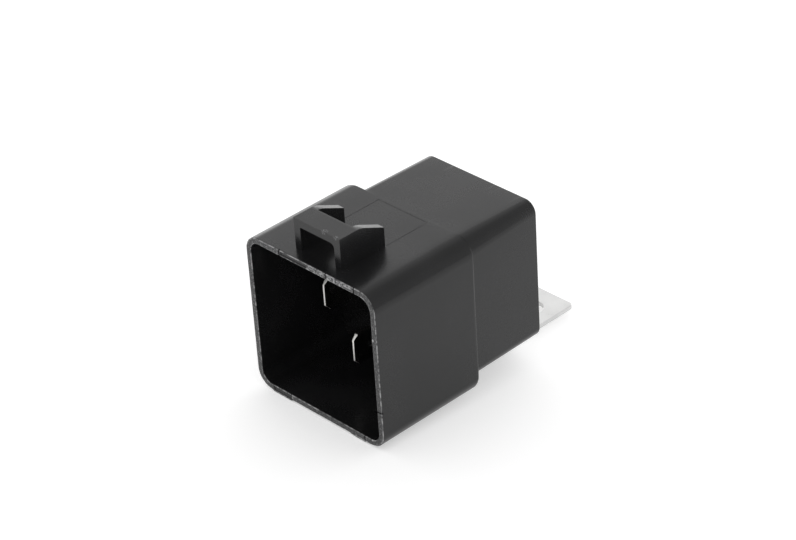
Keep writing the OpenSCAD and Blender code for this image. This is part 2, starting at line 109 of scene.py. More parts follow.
def settle(piece):
    """Applies the modifiers of a piece to its mesh."""
    graph = bpy.context.evaluated_depsgraph_get()
    graph.update()
    baked = bpy.data.meshes.new_from_object(piece.evaluated_get(graph))
    piece.modifiers.clear()
    piece.data = baked


def join(pieces, name):
    """Joins loose shapes of one moulding or stamping into one object."""
    work = bmesh.new()
    for piece in pieces:
        work.from_mesh(piece.data)
    mesh = bpy.data.meshes.new(name)
    work.to_mesh(mesh)
    work.free()
    for piece in pieces:
        bpy.data.objects.remove(piece)
    return placed(name, mesh)


def prism(outline, low, high, axis):
    """A closed outline of 2D points run from low to high along an axis, in millimetres."""
    order = {"x": (2, 0, 1), "y": (0, 2, 1), "z": (0, 1, 2)}[axis]
    n = len(outline)
    points = [(a * MM, b * MM, c * MM) for c in (low, high) for a, b in outline]
    verts = [[point[i] for i in order] for point in points]
    faces = [tuple(range(n))[::-1], tuple(range(n, 2 * n))]
    faces += [(i, (i + 1) % n, n + (i + 1) % n, n + i) for i in range(n)]
    return collect("prism", verts, faces, smooth=False)


def wrap(rows, around):
    """The faces of a closed tube made of rows of points, with a cap at each end."""
    faces = []
    for i in range(rows - 1):
        for k in range(around):
            faces.append((i * around + k, i * around + (k + 1) % around,
                          (i + 1) * around + (k + 1) % around, (i + 1) * around + k))
    faces.append(tuple(range(around)))
    faces.append(tuple(range((rows - 1) * around, rows * around)))
    return faces


def combine(base, other, how):
    """One exact boolean between two shapes; the second is used up."""
    step = base.modifiers.new("fit", "BOOLEAN")
    step.operation = how
    step.solver = "EXACT"
    step.object = other
    settle(base)
    bpy.data.objects.remove(other)


def round_edges(piece, width, segments, angle):
    """Breaks every edge sharper than the angle."""
    step = piece.modifiers.new("edges", "BEVEL")
    step.width = width
    step.segments = segments
    step.limit_method = "ANGLE"
    step.angle_limit = math.radians(angle)
    step.use_clamp_overlap = True
    settle(piece)


def even_normals(piece):
    """Weights the normals by face area, so that flat faces stay flat beside rounded edges."""
    step = piece.modifiers.new("flat", "WEIGHTED_NORMAL")
    step.mode = "FACE_AREA"
    step.keep_sharp = True
    settle(piece)


def arc(cx, cy, r, start, end, steps):
    """Points on an arc, angles in degrees."""
    return [(cx + r * math.cos(math.radians(start + (end - start) * i / steps)),
             cy + r * math.sin(math.radians(start + (end - start) * i / steps)))
            for i in range(steps + 1)]


def quarter(steps):
    """1 - sine and 1 - cosine at each step of a quarter turn, for a rounded edge."""
    turns = [math.pi / 2 * i / steps for i in range(steps + 1)]
    return [(1 - math.sin(a), 1 - math.cos(a)) for a in turns]


def circle(cx, cy, r, step):
    """Points on a circle, one for every step in degrees."""
    turns = [math.radians(a) for a in range(0, 360, step)]
    return [(cx + r * math.cos(a), cy + r * math.sin(a)) for a in turns]


def rounded_plate(w, h, r, steps=8):
    """The outline of a rectangle with rounded corners, about its own centre."""
    points = []
    for sx, sy, start in ((1, 1, 0), (-1, 1, 90), (-1, -1, 180), (1, -1, 270)):
        points += arc(sx * (w / 2 - r), sy * (h / 2 - r), r, start, start + 90, steps)
    return points


def dress(piece, body, slot, material, *nodes):
    """Puts a finished piece on its body, in place of its solids."""
    even_normals(piece)
    piece.data.materials.clear()
    piece.data.materials.append(material)
    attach(piece, body)
    if nodes:
        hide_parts(*nodes)


def paint(node, material):
    """Gives a solid that stays as it is its real finish."""
    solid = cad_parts[node]
    for i in range(len(solid.material_slots)):
        solid.material_slots[i].material = material
    if not solid.material_slots:
        solid.data.materials.append(material)


# ---- Small tools for finishes

def plug(tree, value, socket):
    """Links a socket to a socket, or sets a plain value on it."""
    if isinstance(value, bpy.types.NodeSocket):
        tree.links.new(value, socket)
    else:
        socket.default_value = value


def ranged(tree, value, low, high, start, end):
    """Turns what lies between start and end into a value between low and high."""
    node = tree.nodes.new("ShaderNodeMapRange")
    for key, number in (("Value", value), ("From Min", start), ("From Max", end),
                        ("To Min", low), ("To Max", high)):
        plug(tree, number, node.inputs[key])
    return node.outputs[0]


def worked_out(tree, how, a, b):
    """One step of arithmetic on two values."""
    node = tree.nodes.new("ShaderNodeMath")
    node.operation = how
    plug(tree, a, node.inputs[0])
    plug(tree, b, node.inputs[1])
    return node.outputs[0]


def vector_step(tree, how, vector, other=None, out="Vector"):
    """One step of arithmetic on a vector, with another one where the step takes two."""
    node = tree.nodes.new("ShaderNodeVectorMath")
    node.operation = how
    plug(tree, vector, node.inputs[0])
    if other is not None:
        plug(tree, other, node.inputs[1])
    return node.outputs[out]


class Finish:
    """A material whose nodes are added a few at a time."""

    def __init__(self, name, color, roughness, metallic=0.0, specular=0.5):
        self.material = bpy.data.materials.new(name)
        self.material.use_nodes = True
        self.tree = self.material.node_tree
        self.shader = self.tree.nodes["Principled BSDF"]
        self.shader.inputs["Base Color"].default_value = (*color, 1)
        self.shader.inputs["Roughness"].default_value = roughness
        self.shader.inputs["Metallic"].default_value = metallic
        self.shader.inputs["Specular IOR Level"].default_value = specular
        self.place = self.tree.nodes.new("ShaderNodeTexCoord").outputs["Object"]

    def add(self, kind, **inputs):
        """A node with its inputs linked or set by name."""
        node = self.tree.nodes.new("ShaderNode" + kind)
        for key, value in inputs.items():
            plug(self.tree, value, node.inputs[key])
        return node

    def fed(self, name):
        """The socket that feeds one of the shader's inputs so far."""
        return self.shader.inputs[name].links[0].from_socket

    def noise(self, scale, detail=4.0, stretch=(1, 1, 1)):
        """Cloudy variation of a given fineness, in bumps a metre."""
        grid = self.add("Mapping", Vector=self.place, Scale=stretch)
        node = self.add("TexNoise", Vector=grid.outputs[0], Scale=scale, Detail=detail)
        return node.outputs["Fac"]

    def ramp(self, value, low, high, start=0.3, end=0.7):
        """Turns a value into one between low and high."""
        return ranged(self.tree, value, low, high, start, end)

    def math(self, how, a, b):
        return worked_out(self.tree, how, a, b)

    def most(self, first, *others):
        """The greatest of several values."""
        for other in others:
            first = self.math("MAXIMUM", first, other)
        return first

    def blend(self, fac, first, second):
        """Mixes two colours by a value."""
        node = self.tree.nodes.new("ShaderNodeMix")
        node.data_type = "RGBA"
        for i, value in ((0, fac), (6, first), (7, second)):
            plug(self.tree, (*value, 1) if isinstance(value, tuple) else value, node.inputs[i])
        return node.outputs[2]

    def color(self, socket):
        self.tree.links.new(socket, self.shader.inputs["Base Color"])

    def roughness(self, socket):
        self.tree.links.new(socket, self.shader.inputs["Roughness"])

    def bump(self, height, distance, strength):
        node = self.add("Bump", Height=height, Distance=distance, Strength=strength)
        self.tree.links.new(node.outputs[0], self.shader.inputs["Normal"])


def moulded_plastic(name, color, roughness, specular):
    """Injection-moulded nylon: fine spark-eroded grain with a faint cloudy sheen."""
    made = Finish(name, color, roughness, specular=specular)
    clouds = made.noise(90.0, 3.0)
    fine = made.noise(5200.0, 3.0)
    lighter = tuple(min(1.0, c * 1.35 + 0.0006) for c in color)
    darker = tuple(c * 0.8 for c in color)
    made.color(made.blend(made.ramp(clouds, 0.0, 1.0), darker, lighter))
    made.roughness(made.ramp(made.math("ADD", clouds, made.math("MULTIPLY", fine, 0.5)),
                             roughness - 0.05, roughness + 0.06, 0.5, 1.0))
    made.bump(fine, 0.00002, 0.18)
    return made


def plated_metal(name, color, roughness, stretch=(1, 1, 1), tone=0.12):
    """Plated strip: rolling lines along the strip and a soft, uneven bloom."""
    made = Finish(name, color, roughness, metallic=1.0)
    bloom = made.noise(260.0, 4.0)
    lines = made.noise(2400.0, 2.0, stretch)
    dull = tuple(c * (1 - tone) for c in color)
    made.color(made.blend(made.ramp(bloom, 0.0, 1.0), dull, color))
    made.roughness(made.ramp(made.math("ADD", bloom, lines), roughness - 0.07, roughness + 0.1, 0.7, 1.3))
    made.bump(lines, 0.000006, 0.5)
    return made


# ---- Sizes and finishes that a user would change

class RelayCoverSettings(bpy.types.PropertyGroup):
    edge: bpy.props.FloatProperty(
        name="Edge radius", description="Radius of the moulding's outer edges",
        default=0.0006, min=0.0001, max=0.0015, unit="LENGTH", subtype="DISTANCE")
    latch_edge: bpy.props.FloatProperty(
        name="Bridge edge radius", description="Radius of the lock bridge's edges",
        default=0.0002, min=0.00005, max=0.0006, unit="LENGTH", subtype="DISTANCE")
    seam: bpy.props.FloatProperty(
        name="Insert line depth", description="Depth of the line that a mould insert leaves on top",
        default=0.00004, min=0.0, max=0.0003, unit="LENGTH", subtype="DISTANCE")
    nick: bpy.props.FloatProperty(
        name="Rim nick depth", description="Depth of the small nicks across the rim",
        default=0.0003, min=0.0, max=0.0006, unit="LENGTH", subtype="DISTANCE")
    color: bpy.props.FloatVectorProperty(
        name="Plastic", description="Colour of the black nylon",
        default=(0.0105, 0.0105, 0.011), min=0.0, max=1.0, size=3, subtype="COLOR")
    roughness: bpy.props.FloatProperty(
        name="Roughness", description="Roughness of the moulded surface",
        default=0.25, min=0.1, max=0.9, subtype="FACTOR")


class RelayMetalSettings(bpy.types.PropertyGroup):
    bracket_edge: bpy.props.FloatProperty(
        name="Bracket edge radius", description="Radius of the stamped edges",
        default=0.00012, min=0.00002, max=0.0003, unit="LENGTH", subtype="DISTANCE")
    blade_edge: bpy.props.FloatProperty(
        name="Blade edge radius", description="Radius of the blades' edges",
        default=0.00012, min=0.00001, max=0.0002, unit="LENGTH", subtype="DISTANCE")
    steel: bpy.props.FloatVectorProperty(
        name="Steel", description="Colour of the plated steel",
        default=(0.68, 0.68, 0.675), min=0.0, max=1.0, size=3, subtype="COLOR")
    tin: bpy.props.FloatVectorProperty(
        name="Tin", description="Colour of the tin-plated blades",
        default=(0.86, 0.85, 0.82), min=0.0, max=1.0, size=3, subtype="COLOR")


class RelayWorksSettings(bpy.types.PropertyGroup):
    strands: bpy.props.IntProperty(
        name="Braid strands", description="Number of strands in the flexible braid",
        default=7, min=3, max=12)
    copper: bpy.props.FloatVectorProperty(
        name="Copper", description="Colour of the bare copper",
        default=(0.78, 0.42, 0.25), min=0.0, max=1.0, size=3, subtype="COLOR")
    varnish: bpy.props.FloatVectorProperty(
        name="Winding wire", description="Colour of the varnished winding",
        default=(0.5, 0.17, 0.06), min=0.0, max=1.0, size=3, subtype="COLOR")


class RelayStageSettings(bpy.types.PropertyGroup):
    lens: bpy.props.FloatProperty(
        name="Lens", description="Focal length of the camera, in millimetres",
        default=125.5633, min=20.0, max=300.0)
    key: bpy.props.FloatProperty(
        name="Key light", description="Power of the large soft light above and behind, on the left",
        default=0.75, min=0.0, max=50.0)
    fill: bpy.props.FloatProperty(
        name="Surround", description="Strength of the even light all round",
        default=0.72, min=0.0, max=5.0)
    floor: bpy.props.FloatVectorProperty(
        name="Floor", description="Colour of the floor",
        default=(0.9, 0.9, 0.9), min=0.0, max=1.0, size=3, subtype="COLOR")


# ---- The cover: one moulding with skirt, body, lock bridge and stakes

# Outlines: left, right, bottom and top side, and the corner radii from the top left clockwise
SKIRT = dict(left=-16.25, right=16.25, bottom=-15.95, top=15.95, radii=(3.3, 3.7, 3.2, 3.4))
BODY_FRONT = dict(left=-11.75, right=16.05, bottom=-12.75, top=15.94, radii=(1.8, 3.3, 2.2, 2.0))
BODY_REAR = dict(left=-11.75, right=15.75, bottom=-12.75, top=15.85, radii=(2.3, 2.4, 2.2, 2.2))
WALL = 1.2
SKIRT_END = 23.8
SHOULDER_T = 1.6
TOTAL = 40.405
REAR_WALL = 1.4
# The insert's line on top of the skirt, left, right, front and back
INSERT = (-6.2, 5.95, 12.9, 23.05)
# Nicks across the rim: side of the skirt and place along it
NICKS = {"top": (-7.43, 4.32, 11.26), "right": (-7.9,), "bottom": (11.3, -7.7), "left": ()}
# Half the width of a fine line, and where a nick's slope ends
LINE = 0.06
NICK_END = 0.16
# Grooves along the rim's face, above and below: from, to
GROOVES = ((-7.1, -0.5), (-12.3, -7.8))
# Flash below the rim: the sharp one from, to; the soft one from, to and the lengths of its slopes
SHARP_FLASH = (-12.5, -7.4)
SOFT_FLASH = (7.0, 13.0, 2.0, 1.8)
FLASH = 0.3
# Rows of points beside the ends of grooves and flashes, and along the soft flash
ROWS = {"top": (-7.2, -0.4, -7.0, -0.6),
        "bottom": (-12.4, -12.2, -7.5, -7.3, 7.0, 8.0, 9.0, 10.1, 11.2, 12.1, 13.0)}
# Radius of the rim's own edges, and steps round each corner of an outline
RIM_R = 0.16
CORNER_STEPS = 9


def straights(left, right, bottom, top, radii):
    """Where each side of an outline is straight: its start and end."""
    tl, tr, br, bl = radii
    return {"top": (left + tl, right - tr), "right": (bottom + br, top - tr),
            "bottom": (left + bl, right - br), "left": (bottom + bl, top - tl)}


def side_stops():
    """Places along each straight side where the cover's mesh needs a row of points."""
    stops = {}
    for side, (start, end) in straights(**SKIRT).items():
        places = [start + (end - start) * i / 8 for i in range(9)]
        for nick in NICKS[side]:
            places += [nick - NICK_END, nick - LINE, nick, nick + LINE, nick + NICK_END]
        if side == "top":
            for edge in INSERT[:2]:
                places += [edge - LINE, edge, edge + LINE]
        places += ROWS.get(side, ())
        kept = []
        for place in sorted(places):
            if not kept or place - kept[-1] > 0.02:
                kept.append(place)
        stops[side] = [(p - start) / (end - start) for p in kept]
    return stops


STOPS = side_stops()


def section(left, right, bottom, top, radii):
    """A closed ring of (x, z) points, clockwise from the top left as the rim is seen."""
    tl, tr, br, bl = radii
    spans = straights(left, right, bottom, top, radii)

    def along(side):
        start, end = spans[side]
        return [start + (end - start) * f for f in STOPS[side]]

    def corner(x, z, r, start):
        return arc(x, z, r, start, start - 90, CORNER_STEPS)[1:-1]

    ring = [(x, top) for x in along("top")] + corner(right - tr, top - tr, tr, 90)
    ring += [(right, z) for z in reversed(along("right"))] + corner(right - br, bottom + br, br, 0)
    ring += [(x, bottom) for x in reversed(along("bottom"))] + corner(left + bl, bottom + bl, bl, -90)
    ring += [(left, z) for z in along("left")] + corner(left + tl, top - tl, tl, 180)
    return ring


def inset(outline, by):
    """The same rounded rectangle, smaller all round."""
    return dict(left=outline["left"] + by, right=outline["right"] - by,
                bottom=outline["bottom"] + by, top=outline["top"] - by,
                radii=tuple(max(r - by, 0.05) for r in outline["radii"]))


def body_at(y):
    """The body's outline at a station: it draws in towards the rear, as a moulding does."""
    t = (y - SKIRT_END) / (TOTAL - SKIRT_END)
    outline = {side: BODY_FRONT[side] + (BODY_REAR[side] - BODY_FRONT[side]) * t
               for side in ("left", "right", "bottom", "top")}
    outline["radii"] = tuple(a + (b - a) * t for a, b in zip(BODY_FRONT["radii"], BODY_REAR["radii"]))
    return outline


def shell_rings(edge):
    """The cover's skin as rings from the rim outwards, over the back and into the cavity."""
    rings = []

    def add(outline, y):
        rings.append([Vector((x, y, z)) for x, z in section(**outline)])

    def shoulder(steps, limit, share, convex):
        """Takes each point over its own small radius, out of the skirt or into the body."""
        for less_sin, less_cos in quarter(steps):
            ring = []
            for (sx, sz), (bx, bz) in zip(section(**SKIRT), section(**BODY_FRONT)):
                gap = math.hypot(bx - sx, bz - sz)
                r = min(limit, gap * share)
                if convex:
                    f = r * less_cos / max(gap, 1e-6)
                    y = SKIRT_END - r * less_sin
                else:
                    f = 1 - r * less_sin / max(gap, 1e-6)
                    y = SKIRT_END + r * less_cos
                ring.append(Vector((sx + (bx - sx) * f, y, sz + (bz - sz) * f)))
            rings.append(ring)

    # Rim, from the middle of its face outwards, and the skirt
    add(inset(SKIRT, WALL * 0.5), 0.0)
    add(inset(SKIRT, WALL * 0.3), 0.0)
    for less_sin, less_cos in quarter(4):
        add(inset(SKIRT, RIM_R * less_sin), RIM_R * less_cos)
    for y in (0.4, 0.7, 1.2, 2.2, 5.0, 9.0, INSERT[2] - LINE, INSERT[2], INSERT[2] + LINE,
              16.0, 20.0, INSERT[3] - LINE, INSERT[3], INSERT[3] + LINE):
        add(SKIRT, y)
    shoulder(4, edge, 0.5, True)
    shoulder(3, 0.25, 0.4, False)
    # Body, and its rear edge at half the radius
    for y in (25.0, 28.0, 31.0, 34.0, 37.0):
        add(body_at(y), y)
    rear = edge * 0.5
    for less_sin, less_cos in quarter(4):
        add(inset(BODY_REAR, rear * less_cos), TOTAL - rear * less_sin)
    add(inset(BODY_REAR, 4.0), TOTAL)
    rings.append(None)
    # Inside, from the rear wall forwards to the rim
    cavity = inset(BODY_REAR, WALL)
    hollow = inset(SKIRT, WALL)
    back, step = TOTAL - REAR_WALL, SKIRT_END - SHOULDER_T
    for outline, y in ((inset(cavity, 4.0), back), (inset(cavity, 0.3), back), (cavity, back - 0.3),
                       (cavity, step + 0.1), (cavity, step), (inset(hollow, 0.3), step),
                       (hollow, step - 0.3)):
        add(outline, y)
    for y in (16.0, 8.0, 3.0, 1.0, 0.4):
        add(hollow, y)
    for less_sin, less_cos in quarter(3):
        add(inset(SKIRT, WALL - RIM_R * less_cos), RIM_R * less_sin)
    add(inset(SKIRT, WALL * 0.7), 0.0)
    return rings


def work_rim(rings, seam, nick):
    """Nicks across the rim, the grooves along its face, the flash at its foot and the insert's line."""
    top = SKIRT["top"]
    left, right, front, back = INSERT
    for p in (p for ring in rings if ring for p in ring):
        if p.y < 0.42:
            for side, runs, along in (("top", p.z > top - 2.0, p.x), ("right", p.x > 14.0, p.z),
                                      ("bottom", p.z < -top + 2.0, p.x)):
                for place in NICKS[side]:
                    if runs and abs(along - place) < 0.09:
                        p.y += nick * (1 - p.y / 0.6)
        if p.y < 0.02 and 0.3 < top - abs(p.z) < 0.95:
            start, end = GROOVES[0 if p.z > 0 else 1]
            if start < p.x < end:
                p.y += nick * 0.8
        if p.y < 0.75 and p.z < -top + 0.4:
            sharp = 1.0 if SHARP_FLASH[0] < p.x < SHARP_FLASH[1] else 0.0
            start, end, rise, fall = SOFT_FLASH
            soft = max(0.0, min(1.0, (p.x - start) / rise, (end - p.x) / fall))
            p.z -= FLASH * max(sharp, soft) * max(0.0, 1 - p.y / 0.9)
        if p.z > top - 0.25 and front - 0.01 < p.y < back + 0.01 and -7.0 < p.x < 7.0:
            on_side = min(abs(p.x - left), abs(p.x - right)) < 0.01
            on_back = abs(p.y - back) < 0.01 and left - 0.01 < p.x < right + 0.01
            if on_side or on_back:
                p.z -= seam
    return rings


def skin(rings, name):
    """Closed mesh from rings; a gap in the list separates the outside from the inside."""
    verts, faces, rows = [], [], []
    n = len(rings[0])
    for ring in rings:
        if ring is None:
            rows.append(None)
            continue
        if len(ring) != n:
            raise ValueError("a ring of the cover has %d points, not %d" % (len(ring), n))
        rows.append(len(verts))
        verts += [v * MM for v in ring]
    for a, b in zip(rows, rows[1:] + [rows[0]]):
        if a is None or b is None:
            continue
        faces += [(a + k, a + (k + 1) % n, b + (k + 1) % n, b + k) for k in range(n)]
    gap = rows.index(None)
    for start in (rows[gap - 1], rows[gap + 1]):
        faces.append(tuple(range(start, start + n)))
    return collect(name, verts, faces)


def lock_bridge(edge):
    """Two legs and the bridge between them, rounded at the inner corners."""
    half, leg, front, rear = 5.75, 1.5, 2.6, 13.0
    under, top, foot, skirt = 20.55, 22.05, 15.75, 15.95
    inside = half - leg
    corner, tight = 0.9, 0.3
    hoop = [(-half, foot), (-half, top), (half, top), (half, foot), (inside, foot)]
    hoop += arc(inside - corner, under - corner, corner, 0, 90, 6)
    hoop += arc(-inside + tight, under - tight, tight, 90, 180, 6)
    hoop += [(-inside, foot)]
    body = prism(hoop, front, rear, "y")
    # Each leg's top runs level almost to the bridge's rear edge, then bends down to its own rear end
    flat_end, bend_r, rear_top = 6.6, 5.0, skirt + 3.7
    slope = 0.0
    for _ in range(20):
        fall = top - bend_r * (1 - math.cos(slope)) - rear_top
        slope = math.atan2(fall, rear - flat_end - bend_r * math.sin(slope))
    bend = [(flat_end + bend_r * math.sin(slope * i / 8), top - bend_r * (1 - math.cos(slope * i / 8)))
            for i in range(9)]
    side = [(front - 1, foot - 1), (front - 1, top)] + bend + [(rear, rear_top), (rear, foot - 1)]
    combine(body, prism(side, -9, 9, "x"), "INTERSECT")
    # Behind the bridge only the legs go on
    bridge_end = 7.0
    between = [(-inside, 14.0), (-inside, 24.0), (inside, 24.0), (inside, 14.0)]
    combine(body, prism(between, bridge_end, rear + 1, "y"), "DIFFERENCE")
    round_edges(body, edge, 3, 25.0)
    return body


def lathe(profile, centre, steps=48):
    """Turns a list of (radius, height) points about the Y axis through a centre."""
    verts = []
    for r, h in profile:
        for k in range(steps):
            a = 2 * math.pi * k / steps
            verts.append(((centre[0] + r * math.cos(a)) * MM, (centre[1] + h) * MM,
                          (centre[2] + r * math.sin(a)) * MM))
    return collect("lathe", verts, wrap(len(profile), steps), smooth=False)


class RELAY_OT_cover(bpy.types.Operator):
    """Builds the cover: skirt, body, lock bridge and stake heads in one black moulding"""
    bl_idname = "relay.cover"
    bl_label = "Cover"

    def execute(self, context):
        size = context.scene.relay_cover
        rings = work_rim(shell_rings(size.edge / MM), size.seam / MM, size.nick / MM)
        shell = skin(rings, "shell")
        bridge = lock_bridge(size.latch_edge)
        # A stake's shank comes through the bracket, and its melted head lies on it
        head_r, dome_r, dome_t = 1.87, 0.55, 0.6
        head = [(STAKE_R, -0.2), (STAKE_R, STEEL_T), (head_r, STEEL_T)]
        for a in (15, 30, 45, 60, 75, 90):
            turn = math.radians(a)
            head.append((head_r - dome_r * (1 - math.cos(turn)), STEEL_T + dome_t * math.sin(turn)))
        head += [(0.9, 1.46), (0.4, 1.42)]
        stakes = [lathe(head, (CENTRE + side * STAKE_OUT, TOTAL, STAKE_Z)) for side in (-1, 1)]
        whole = join([shell, bridge] + stakes, "relay_cover")
        shade(whole, 28.0)
        dress(whole, "housing", "black_nylon", black_nylon(size.color, size.roughness), "cover")
        return {"FINISHED"}


def rim_depth(made):
    """A point's distance from the skirt's outline, below zero inside it."""
    # One radius stands for all four corners
    r = 3.4
    core = ((SKIRT["right"] - r) * MM, 1.0, (SKIRT["top"] - r) * MM)
    away = vector_step(made.tree, "ABSOLUTE", made.place)
    away = vector_step(made.tree, "SUBTRACT", away, core)
    away = vector_step(made.tree, "MAXIMUM", away, (0.0, 0.0, 0.0))
    away = vector_step(made.tree, "LENGTH", away, out="Value")
    return made.math("SUBTRACT", away, r * MM)


def spot(made, centre, radius):
    """A soft round patch about a point."""
    point = tuple(v * MM for v in centre)
    away = vector_step(made.tree, "DISTANCE", made.place, point, "Value")
    return made.ramp(away, 1.0, 0.0, radius * MM * 0.4, radius * MM)


def scuff(made, centre, radius):
    """A patch of fine bright scratches round a point."""
    scratches = made.ramp(made.noise(4200.0, 2.0, (1, 2, 1)), 0.0, 1.0, 0.52, 0.62)
    return made.math("MULTIPLY", spot(made, centre, radius), scratches)


def rim_run(made, split, start, stop, upper):
    """The stretch of the rim's upper or lower run that lies between two places across, in millimetres."""
    edge = 14.2 if upper else -14.2
    side = made.ramp(split.outputs["Z"], 1.0 - upper, float(upper), (edge - 0.2) * MM, (edge + 0.2) * MM)
    first = made.ramp(split.outputs["X"], 0.0, 1.0, (start - 0.3) * MM, (start + 0.3) * MM)
    last = made.ramp(split.outputs["X"], 1.0, 0.0, (stop - 0.3) * MM, (stop + 0.3) * MM)
    return made.math("MULTIPLY", side, made.math("MULTIPLY", first, last))


def black_nylon(color, roughness):
    """Black moulded nylon, paler where the bridge is scuffed, and paler on the rim's face: partly rubbed
    wear, partly painted highlights along its edges and two painted glints.
    """
    made = moulded_plastic("black_nylon", tuple(color), roughness, 0.34)
    split = made.add("SeparateXYZ", Vector=made.place)
    near = made.ramp(split.outputs["Y"], 1.0, 0.0, 0.00002, 0.00016)
    # Pale lines along the rim's outer and inner edge, partly rubbed and partly a painted highlight where
    # the edges catch light; on the right the inner one is faint
    depth = rim_depth(made)
    outer = made.ramp(depth, 0.0, 1.0, -0.00024, -0.00014)
    inner = made.ramp(depth, 1.0, 0.0, -0.00108, -0.00098)
    inner = made.math("MULTIPLY", inner, made.ramp(split.outputs["X"], 1.0, 0.35, 0.0138, 0.0146))
    patchy = made.ramp(made.noise(1100.0, 6.0), 0.1, 0.95, 0.4, 0.62)
    lines = made.math("MULTIPLY", made.most(outer, inner), patchy)
    # Speckle all over its face, two stretches that are worn more, and two painted glints on the right
    speckle = made.ramp(made.noise(2600.0, 6.0), 0.04, 0.3, 0.5, 0.66)
    runs = made.most(rim_run(made, split, -0.5, 11.0, True), rim_run(made, split, -11.5, -7.0, False))
    worn = made.math("MULTIPLY", runs, made.ramp(made.noise(2100.0, 6.0), 0.05, 0.72, 0.46, 0.6))
    painted_glints = made.most(spot(made, (15.25, 0.0, 7.0), 0.35), spot(made, (13.3, 0.0, -14.75), 0.35))
    rub_and_highlight = made.math("MULTIPLY", near, made.most(lines, speckle, worn, painted_glints))
    marks = made.most(scuff(made, (1.8, 2.85, 22.05), 0.8), scuff(made, (4.7, 2.75, 22.05), 0.6))
    # Painted highlight: the rim's face is blended to a pale grey where it is worn and where its edges and
    # two spots catch light
    rim_worn_and_lit = made.blend(rub_and_highlight, made.fed("Base Color"), (0.5, 0.5, 0.505))
    made.color(made.blend(marks, rim_worn_and_lit, (0.22, 0.22, 0.225)))
    return made.material


# ---- The bracket

class RELAY_OT_bracket(bpy.types.Operator):
    """Builds the stamped steel bracket with its tab, bend and leg"""
    bl_idname = "relay.bracket"
    bl_label = "Bracket"

    def execute(self, context):
        size = context.scene.relay_metal
        t, w, bend = STEEL_T, 10.5, 1.0
        reach, height, hole_r, hole_in = 18.0, 17.0, 2.25, 6.0
        outer = bend + t
        top, end = -18.15, TOTAL + reach
        under = top - t
        crown = under + height
        side = [(TOTAL, crown), (TOTAL + t, crown)]
        side += arc(TOTAL + outer, under + outer, bend, 180, 270, 10)
        side += [(end, top), (end, under)]
        side += arc(TOTAL + outer, under + outer, outer, 270, 180, 12)
        strip = prism(side, CENTRE - w / 2, CENTRE + w / 2, "x")
        # The corners are rounded by cutting with plates twice as long as the tab and the leg
        plan = [(CENTRE + a, end - reach + b) for a, b in rounded_plate(w, 2 * reach, 1.0)]
        combine(strip, prism(plan, -24, 4, "z"), "INTERSECT")
        plan = [(CENTRE + a, crown - height + b) for a, b in rounded_plate(w, 2 * height, 2.0)]
        combine(strip, prism(plan, TOTAL - 1, end + 1, "y"), "INTERSECT")
        hole = circle(CENTRE, end - hole_in, hole_r, 6)
        combine(strip, prism(hole, -21, -16, "z"), "DIFFERENCE")
        for x in (-STAKE_OUT, STAKE_OUT):
            hole = circle(CENTRE + x, STAKE_Z, STAKE_R, 10)
            combine(strip, prism(hole, TOTAL - 1, TOTAL + 2, "y"), "DIFFERENCE")
        round_edges(strip, size.bracket_edge, 2, 40.0)
        strip.name = "steel_bracket"
        shade(strip, 30.0)
        steel = plated_metal("bracket_steel", tuple(size.steel), 0.34, (6, 0.5, 6))
        dress(strip, "housing", "bracket_steel", steel.material, "mounting_bracket")
        return {"FINISHED"}


# ---- The blades, base plate and resin

def broken_copy(node, name, width):
    """The outline of a solid again, with its edges lightly broken as a stamping's are."""
    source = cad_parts[node]
    work = bmesh.new()
    work.from_mesh(source.data)
    bmesh.ops.transform(work, matrix=source.matrix_world, verts=work.verts)
    bmesh.ops.remove_doubles(work, verts=work.verts, dist=1e-7)
    bmesh.ops.dissolve_limit(work, angle_limit=math.radians(1.0), verts=work.verts, edges=work.edges)
    mesh = bpy.data.meshes.new(name)
    work.to_mesh(mesh)
    work.free()
    piece = placed(name, mesh)
    tidy_normals(piece)
    round_edges(piece, width, 3, 25.0)
    shade(piece, 30.0)
    return piece


def blade_tin(color):
    """Tin plate: dulled and smooth on the faces, with a painted highlight in paler tin on the coined land
    and corners of the tips, which are rougher too.
    """
    made = plated_metal("blade_tin", tuple(c * 0.55 for c in color), 0.16, (8, 0.6, 8), 0.15)
    split = made.add("SeparateXYZ", Vector=made.place)
    facing = made.add("SeparateXYZ", Vector=made.tree.nodes["Texture Coordinate"].outputs["Normal"])
    ahead = made.ramp(facing.outputs["Y"], 1.0, 0.0, -0.6, -0.35)
    # Painted highlight: paler tin on the tips' front-facing land and corners
    tip_highlight = made.math("MULTIPLY", ahead, made.ramp(split.outputs["Y"], 1.0, 0.0, 0.0101, 0.0103))
    made.color(made.blend(tip_highlight, made.fed("Base Color"), tuple(min(1.0, c * 1.1) for c in color)))
    made.roughness(made.math("ADD", made.fed("Roughness"), made.math("MULTIPLY", tip_highlight, 0.3)))
    return made.material


class RELAY_OT_blades(bpy.types.Operator):
    """Builds the four tin-plated blades with lightly broken edges"""
    bl_idname = "relay.blades"
    bl_label = "Blades"

    def execute(self, context):
        size = context.scene.relay_metal
        tin = blade_tin(tuple(size.tin))
        for number in ("30", "85", "86", "87"):
            blade = broken_copy("terminal_" + number, "blade_" + number, size.blade_edge)
            dress(blade, "housing", "blade_tin", tin, "terminal_" + number)
        return {"FINISHED"}


class RELAY_OT_base(bpy.types.Operator):
    """Gives the base plate and the sealing resin their finishes"""
    bl_idname = "relay.base"
    bl_label = "Base plate and resin"

    def execute(self, context):
        paint("base_plate", moulded_plastic("base_nylon", (0.02, 0.019, 0.018), 0.5, 0.45).material)
        made = Finish("sealing_epoxy", (0.008, 0.008, 0.0085), 0.2)
        waves = made.noise(160.0, 3.0)
        specks = made.noise(2600.0, 2.0)
        made.color(made.blend(made.ramp(waves, 0.0, 1.0), (0.006, 0.006, 0.0065), (0.012, 0.012, 0.012)))
        made.roughness(made.ramp(specks, 0.16, 0.3))
        made.bump(waves, 0.0002, 0.5)
        paint("sealing_resin", made.material)
        return {"FINISHED"}


# ---- The works inside

